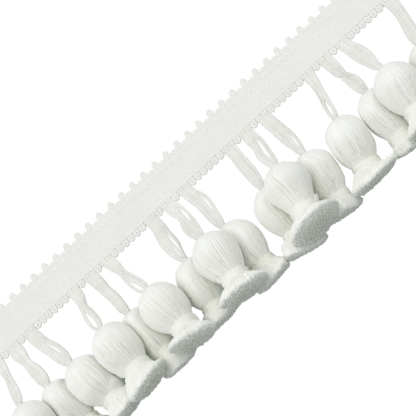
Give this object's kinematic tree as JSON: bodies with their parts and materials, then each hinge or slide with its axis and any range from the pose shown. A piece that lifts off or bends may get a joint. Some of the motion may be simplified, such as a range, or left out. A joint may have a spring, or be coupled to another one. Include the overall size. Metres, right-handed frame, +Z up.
{
  "type": "onion tassel fringe trim",
  "caption": "Cut length of upholstery trim: a woven picot-edged heading with grouped yarn hangers, each ending in an onion-shaped tassel with a bound neck and flared skirt.",
  "frame": {"origin": "middle of the heading's back face, on the surface that the trim lies on", "axes": "+X along the heading, +Y towards the picots with the tassels towards -Y, +Z up out of the face"},
  "size_m": [0.2032, 0.0575, 0.0282],
  "materials": {
    "heading_yarn": "matte woven cotton",
    "hanger_yarn": "matte twisted cotton yarn",
    "tassel_yarn": "soft matte cotton yarn",
    "tie_yarn": "matte cotton binding yarn"
  },
  "bodies": {
    "root": {"heading": "heading_yarn", "hanger_01": "hanger_yarn", "hanger_02": "hanger_yarn", "hanger_03": "hanger_yarn", "hanger_04": "hanger_yarn", "hanger_05": "hanger_yarn", "hanger_06": "hanger_yarn", "hanger_07": "hanger_yarn", "hanger_08": "hanger_yarn", "hanger_09": "hanger_yarn", "hanger_10": "hanger_yarn", "hanger_11": "hanger_yarn", "hanger_12": "hanger_yarn", "hanger_13": "hanger_yarn", "hanger_14": "hanger_yarn", "hanger_15": "hanger_yarn", "hanger_16": "hanger_yarn", "hanger_17": "hanger_yarn", "hanger_18": "hanger_yarn", "tassel_01": "tassel_yarn", "tassel_02": "tassel_yarn", "tassel_03": "tassel_yarn", "tassel_04": "tassel_yarn", "tassel_05": "tassel_yarn", "tassel_06": "tassel_yarn", "tassel_07": "tassel_yarn", "tassel_08": "tassel_yarn", "tassel_09": "tassel_yarn", "tassel_10": "tassel_yarn", "tassel_11": "tassel_yarn", "tassel_12": "tassel_yarn", "tassel_13": "tassel_yarn", "tassel_14": "tassel_yarn", "tassel_15": "tassel_yarn", "tassel_16": "tassel_yarn", "tassel_17": "tassel_yarn", "tassel_18": "tassel_yarn", "tie_01": "tie_yarn", "tie_02": "tie_yarn", "tie_03": "tie_yarn", "tie_04": "tie_yarn", "tie_05": "tie_yarn", "tie_06": "tie_yarn", "tie_07": "tie_yarn", "tie_08": "tie_yarn", "tie_09": "tie_yarn", "tie_10": "tie_yarn", "tie_11": "tie_yarn", "tie_12": "tie_yarn", "tie_13": "tie_yarn", "tie_14": "tie_yarn", "tie_15": "tie_yarn", "tie_16": "tie_yarn", "tie_17": "tie_yarn", "tie_18": "tie_yarn"}
  },
  "joints": []
}
